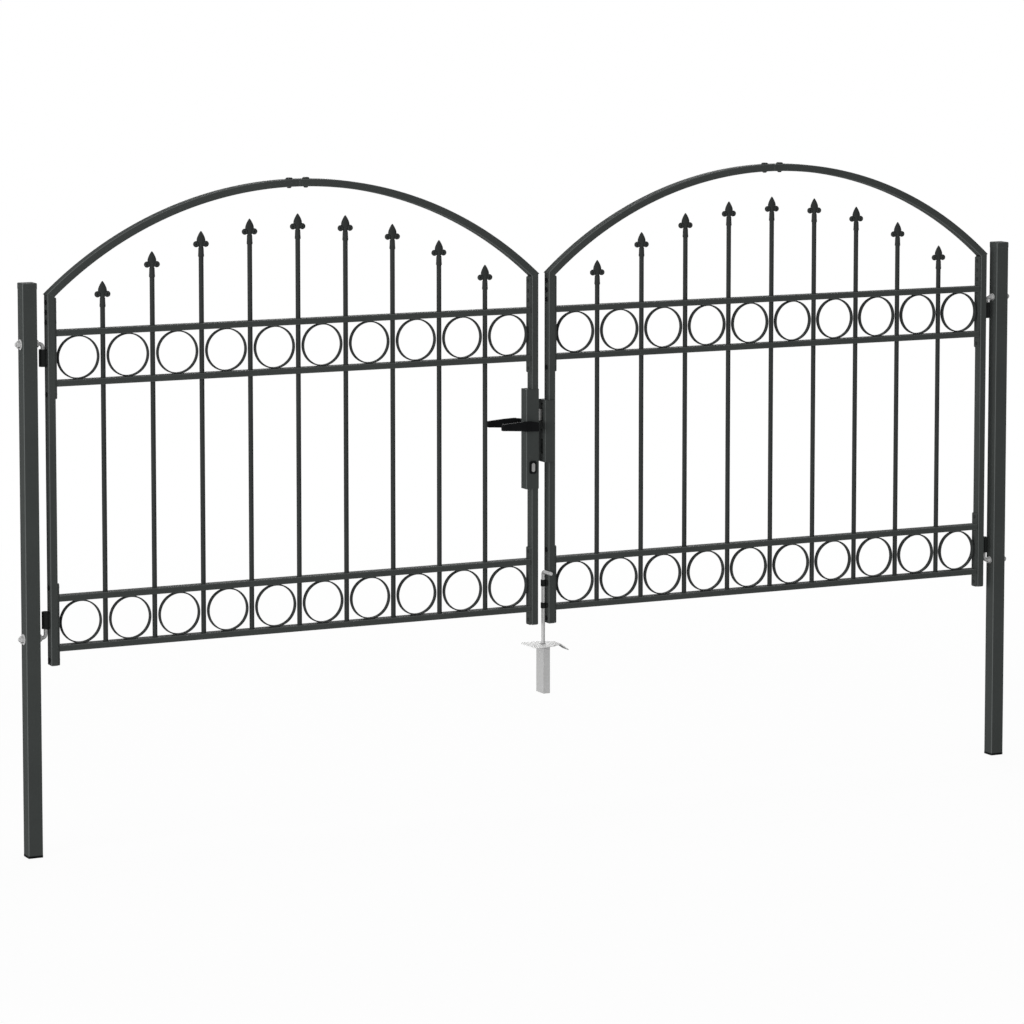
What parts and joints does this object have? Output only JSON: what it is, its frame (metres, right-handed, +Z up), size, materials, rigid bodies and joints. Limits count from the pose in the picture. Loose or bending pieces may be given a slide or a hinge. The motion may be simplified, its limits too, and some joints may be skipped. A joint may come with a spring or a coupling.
{
  "type": "double garden gate",
  "caption": "Double-leaf arched metal garden gate on square posts, with round bars, spear finials, ring bands, lever lock and a drop bolt with its ground socket.",
  "frame": {"origin": "middle of the underside of the left post's foot, seen from the front", "axes": "+X along the gate from the left post to the right post, +Y to the back, +Z up"},
  "size_m": [3.028, 0.1054, 1.746],
  "materials": {
    "anthracite_coat": "fine matt anthracite powder coat",
    "galvanised_steel": "bright zinc plating, slightly dull",
    "black_plastic": "satin black moulded plastic",
    "nickel_plate": "satin nickel plating"
  },
  "bodies": {
    "posts": {"left_post": "anthracite_coat", "right_post": "anthracite_coat", "post_caps": "anthracite_coat", "post_feet": "black_plastic", "left_pintles": "galvanised_steel", "right_pintles": "galvanised_steel", "ground_plate": "galvanised_steel", "ground_tube": "galvanised_steel"},
    "left_leaf": {"left_hinge_stile": "anthracite_coat", "left_lock_stile": "anthracite_coat", "left_stile_caps": "black_plastic", "left_arch_hinge_half": "anthracite_coat", "left_arch_lock_half": "anthracite_coat", "left_end_plates": "anthracite_coat", "left_rails": "anthracite_coat", "left_bars": "anthracite_coat", "left_finials": "anthracite_coat", "left_upper_rings": "anthracite_coat", "left_lower_rings": "anthracite_coat", "left_hinge_sockets": "anthracite_coat", "lock_case": "anthracite_coat", "lock_cylinder": "nickel_plate", "lock_rosettes": "black_plastic"},
    "right_leaf": {"right_hinge_stile": "anthracite_coat", "right_lock_stile": "anthracite_coat", "right_stile_caps": "black_plastic", "right_arch_hinge_half": "anthracite_coat", "right_arch_lock_half": "anthracite_coat", "right_end_plates": "anthracite_coat", "right_rails": "anthracite_coat", "right_bars": "anthracite_coat", "right_finials": "anthracite_coat", "right_upper_rings": "anthracite_coat", "right_lower_rings": "anthracite_coat", "right_hinge_sockets": "anthracite_coat", "strike": "anthracite_coat", "bolt_guides": "anthracite_coat"},
    "lever_handle": {"front_lever": "black_plastic", "back_lever": "black_plastic", "lever_spindle": "nickel_plate"},
    "latch": {"latch_bolt": "nickel_plate"},
    "drop_rod": {"drop_bolt": "galvanised_steel"}
  },
  "joints": [
    {"name": "left_leaf_swing", "type": "hinge", "parent": "posts", "child": "left_leaf", "pos_m": [0.04, 0, 0.5], "axis": [0, 0, 1], "range_deg": [0, 90]},
    {"name": "right_leaf_swing", "type": "hinge", "parent": "posts", "child": "right_leaf", "pos_m": [2.92, 0, 0.5], "axis": [0, 0, -1], "range_deg": [0, 90]},
    {"name": "lever_turn", "type": "hinge", "parent": "left_leaf", "child": "lever_handle", "pos_m": [1.44, 0, 1.056], "axis": [0, -1, 0], "range_deg": [0, 45], "stiffness_Nm_per_rad": 0.6, "springref_deg": -22.92},
    {"name": "latch_slide", "type": "slide", "parent": "left_leaf", "child": "latch", "axis": [-1, 0, 0], "range_m": [0, 0.012]},
    {"name": "drop_bolt_slide", "type": "slide", "parent": "right_leaf", "child": "drop_rod", "axis": [0, 0, 1], "range_m": [-0.012, 0.06]}
  ],
  "couplings": [
    {"joint": "latch_slide", "follows": "lever_turn", "m_per_rad": 0.01527}
  ]
}
